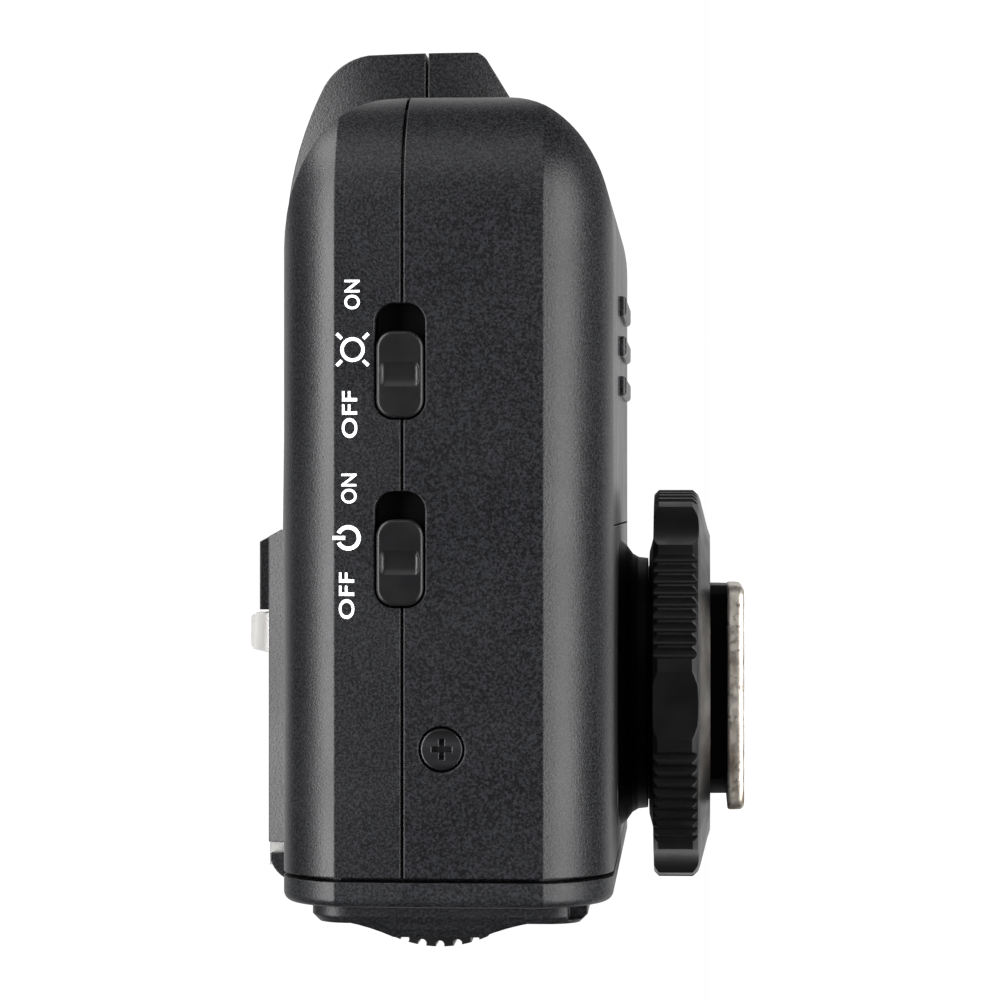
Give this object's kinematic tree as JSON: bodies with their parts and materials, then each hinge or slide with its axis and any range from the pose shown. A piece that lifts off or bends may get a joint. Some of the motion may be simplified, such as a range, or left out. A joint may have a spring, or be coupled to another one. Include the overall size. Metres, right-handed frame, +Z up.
{
  "type": "wireless flash trigger",
  "caption": "Hot-shoe radio flash transmitter with a pass-through top shoe, rear control panel, side slide switches, battery door and a screw-down lock ring over a metal foot.",
  "frame": {"origin": "on the lock ring's axis, at the underside of the metal foot plate", "axes": "+Z up from foot to top shoe, +Y to the front (lamp side), +X to the side with the slide switches"},
  "size_m": [0.0722, 0.072, 0.0409],
  "materials": {
    "case_plastic": "fine-grained dark grey moulded plastic",
    "panel_plastic": "fine-grained dark grey moulded plastic",
    "foot_plastic": "plain black moulded plastic",
    "ring_plastic": "black moulded plastic, knurled edge",
    "button_plastic": "grey moulded plastic",
    "knob_plastic": "black moulded plastic",
    "dial_plastic": "black moulded plastic, toothed rim",
    "window_plastic": "clear acrylic window",
    "lens_plastic": "dark red window",
    "led_resin": "tinted clear resin",
    "light_pipe": "clear acrylic rod",
    "display_glass": "grey-green display",
    "backlight": "white diffuser",
    "mat_rubber": "silicone rubber",
    "board": "solder-masked circuit board",
    "can_steel": "tinned shield and sockets",
    "antenna_metal": "stamped antenna",
    "contact_gold": "gold-plated contact",
    "screw_steel": "blackened steel",
    "spring_steel": "bright spring steel",
    "bare_steel": "bright bare steel",
    "plate_metal": "bright milled plate",
    "shoe_metal": "bright folded sheet",
    "cell_wrap": "cell with a printed-film wrap, left plain",
    "switch_metal": "switch can"
  },
  "bodies": {
    "case": {"upper_shell": "case_plastic", "lower_shell": "case_plastic", "rear_cap": "panel_plastic", "lcd_window": "window_plastic", "lcd_module": "display_glass", "lcd_backlight": "backlight", "button_mat": "mat_rubber", "status_light_pipe": "light_pipe", "dial_axle": "bare_steel", "dial_bracket": "bare_steel", "dial_encoder": "knob_plastic", "lamp_lens": "lens_plastic", "lamp_led": "led_resin", "battery_cell_front": "cell_wrap", "battery_cell_rear": "cell_wrap", "battery_tray": "foot_plastic", "battery_contacts": "bare_steel", "battery_springs": "spring_steel", "main_board": "board", "control_board": "board", "radio_module": "can_steel", "antenna": "antenna_metal", "port_board": "board", "usb_port": "can_steel", "sync_jack": "knob_plastic", "shoe_rails": "shoe_metal", "shoe_base": "foot_plastic", "shoe_contacts": "contact_gold", "shoe_spring": "spring_steel", "shoe_screws": "screw_steel", "foot_pedestal": "foot_plastic", "foot_block": "foot_plastic", "foot_plate": "plate_metal", "foot_screws": "screw_steel", "lock_pin_spring": "spring_steel", "foot_centre_spring": "spring_steel", "foot_pin_springs": "spring_steel", "case_screws": "screw_steel", "board_screws": "screw_steel", "power_switch_body": "switch_metal", "lamp_switch_body": "switch_metal"},
    "dial": {"select_dial": "dial_plastic"},
    "mode_key": {"mode_button": "button_plastic"},
    "group_key": {"group_button": "button_plastic"},
    "channel_key": {"channel_button": "button_plastic"},
    "function_key": {"function_button": "button_plastic"},
    "test_key": {"test_button": "button_plastic"},
    "power_knob": {"power_switch_knob": "knob_plastic"},
    "lamp_knob": {"lamp_switch_knob": "knob_plastic"},
    "lifter": {"pin_lifter": "bare_steel", "lock_pin": "bare_steel"},
    "ring": {"lock_ring": "ring_plastic", "lock_ring_cover": "ring_plastic"},
    "door": {"battery_door": "case_plastic"},
    "centre_contact": {"foot_contact_centre": "contact_gold"},
    "pin_contacts": {"foot_contact_pins": "contact_gold"}
  },
  "joints": [
    {"name": "dial_turn", "type": "hinge", "parent": "case", "child": "dial", "pos_m": [0.024, -0.0103, 0.02397], "axis": [1, 0, 0], "continuous": true},
    {"name": "mode_press", "type": "slide", "parent": "case", "child": "mode_key", "axis": [0, 1, 0], "range_m": [0, 0.0005], "stiffness_N_per_m": 500, "springref_m": -0.001},
    {"name": "group_press", "type": "slide", "parent": "case", "child": "group_key", "axis": [0, 1, 0], "range_m": [0, 0.0005], "stiffness_N_per_m": 500, "springref_m": -0.001},
    {"name": "channel_press", "type": "slide", "parent": "case", "child": "channel_key", "axis": [0, 1, 0], "range_m": [0, 0.0005], "stiffness_N_per_m": 500, "springref_m": -0.001},
    {"name": "function_press", "type": "slide", "parent": "case", "child": "function_key", "axis": [0, 1, 0], "range_m": [0, 0.0005], "stiffness_N_per_m": 500, "springref_m": -0.001},
    {"name": "test_press", "type": "slide", "parent": "case", "child": "test_key", "axis": [0, 1, 0], "range_m": [0, 0.0005], "stiffness_N_per_m": 500, "springref_m": -0.001},
    {"name": "power_slide", "type": "slide", "parent": "case", "child": "power_knob", "axis": [0, 1, 0], "range_m": [0, 0.002]},
    {"name": "lamp_slide", "type": "slide", "parent": "case", "child": "lamp_knob", "axis": [0, 1, 0], "range_m": [0, 0.002]},
    {"name": "lock_lift", "type": "slide", "parent": "case", "child": "lifter", "axis": [0, 0, -1], "range_m": [0, 0.0012], "deforming": ["lock_pin_spring"]},
    {"name": "ring_turn", "type": "hinge", "parent": "lifter", "child": "ring", "pos_m": [0, 0, 0.0055], "axis": [0, 0, -1], "range_deg": [0, 360]},
    {"name": "door_slide", "type": "slide", "parent": "case", "child": "door", "axis": [0, 1, 0], "range_m": [0, 0.035]},
    {"name": "centre_contact_press", "type": "slide", "parent": "case", "child": "centre_contact", "axis": [0, 0, 1], "range_m": [0, 0.0004], "stiffness_N_per_m": 300, "springref_m": -0.001, "deforming": ["foot_centre_spring"]},
    {"name": "pin_contacts_press", "type": "slide", "parent": "case", "child": "pin_contacts", "axis": [0, 0, 1], "range_m": [0, 0.0004], "stiffness_N_per_m": 300, "springref_m": -0.001, "deforming": ["foot_pin_springs"]}
  ],
  "couplings": [
    {"joint": "ring_turn", "follows": "lock_lift", "rad_per_m": 5235}
  ]
}
